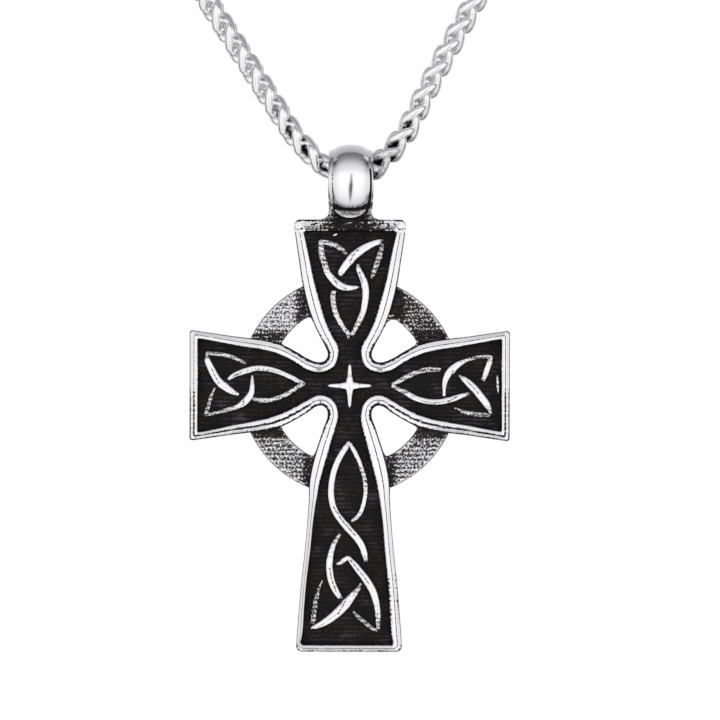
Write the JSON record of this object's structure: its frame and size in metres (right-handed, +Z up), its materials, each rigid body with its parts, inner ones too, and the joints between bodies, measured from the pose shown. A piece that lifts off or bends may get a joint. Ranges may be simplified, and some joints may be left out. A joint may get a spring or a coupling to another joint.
{
  "type": "celtic cross pendant on a wheat chain necklace",
  "caption": "Ringed cross pendant cast in blackened steel with raised interlace, hung by its bail on a closed wheat chain.",
  "frame": {"origin": "middle of the clasp at the top of the closed chain loop, where it rests on the nape of the neck", "axes": "+Z up, from the cross to the clasp; -Y out of the ornamented front of the cross; +X to the right as seen from the front"},
  "size_m": [0.1447, 0.0072, 0.2618],
  "materials": {
    "blackened_steel": "cast steel, crests polished bright, recesses oxidised black",
    "chain_steel": "polished steel wire",
    "finding_steel": "polished steel"
  },
  "bodies": {
    "necklace": {"wheat_chain": "chain_steel", "end_cap_left": "finding_steel", "end_cap_right": "finding_steel", "jump_ring_left": "finding_steel", "jump_ring_right": "finding_steel", "lobster_clasp": "finding_steel"},
    "pendant": {"cross_pendant": "blackened_steel"}
  },
  "joints": [
    {"name": "pendant_swing", "type": "hinge", "parent": "necklace", "child": "pendant", "pos_m": [0, 0, -0.211], "axis": [1, 0, 0], "range_deg": [-150, 150]}
  ]
}
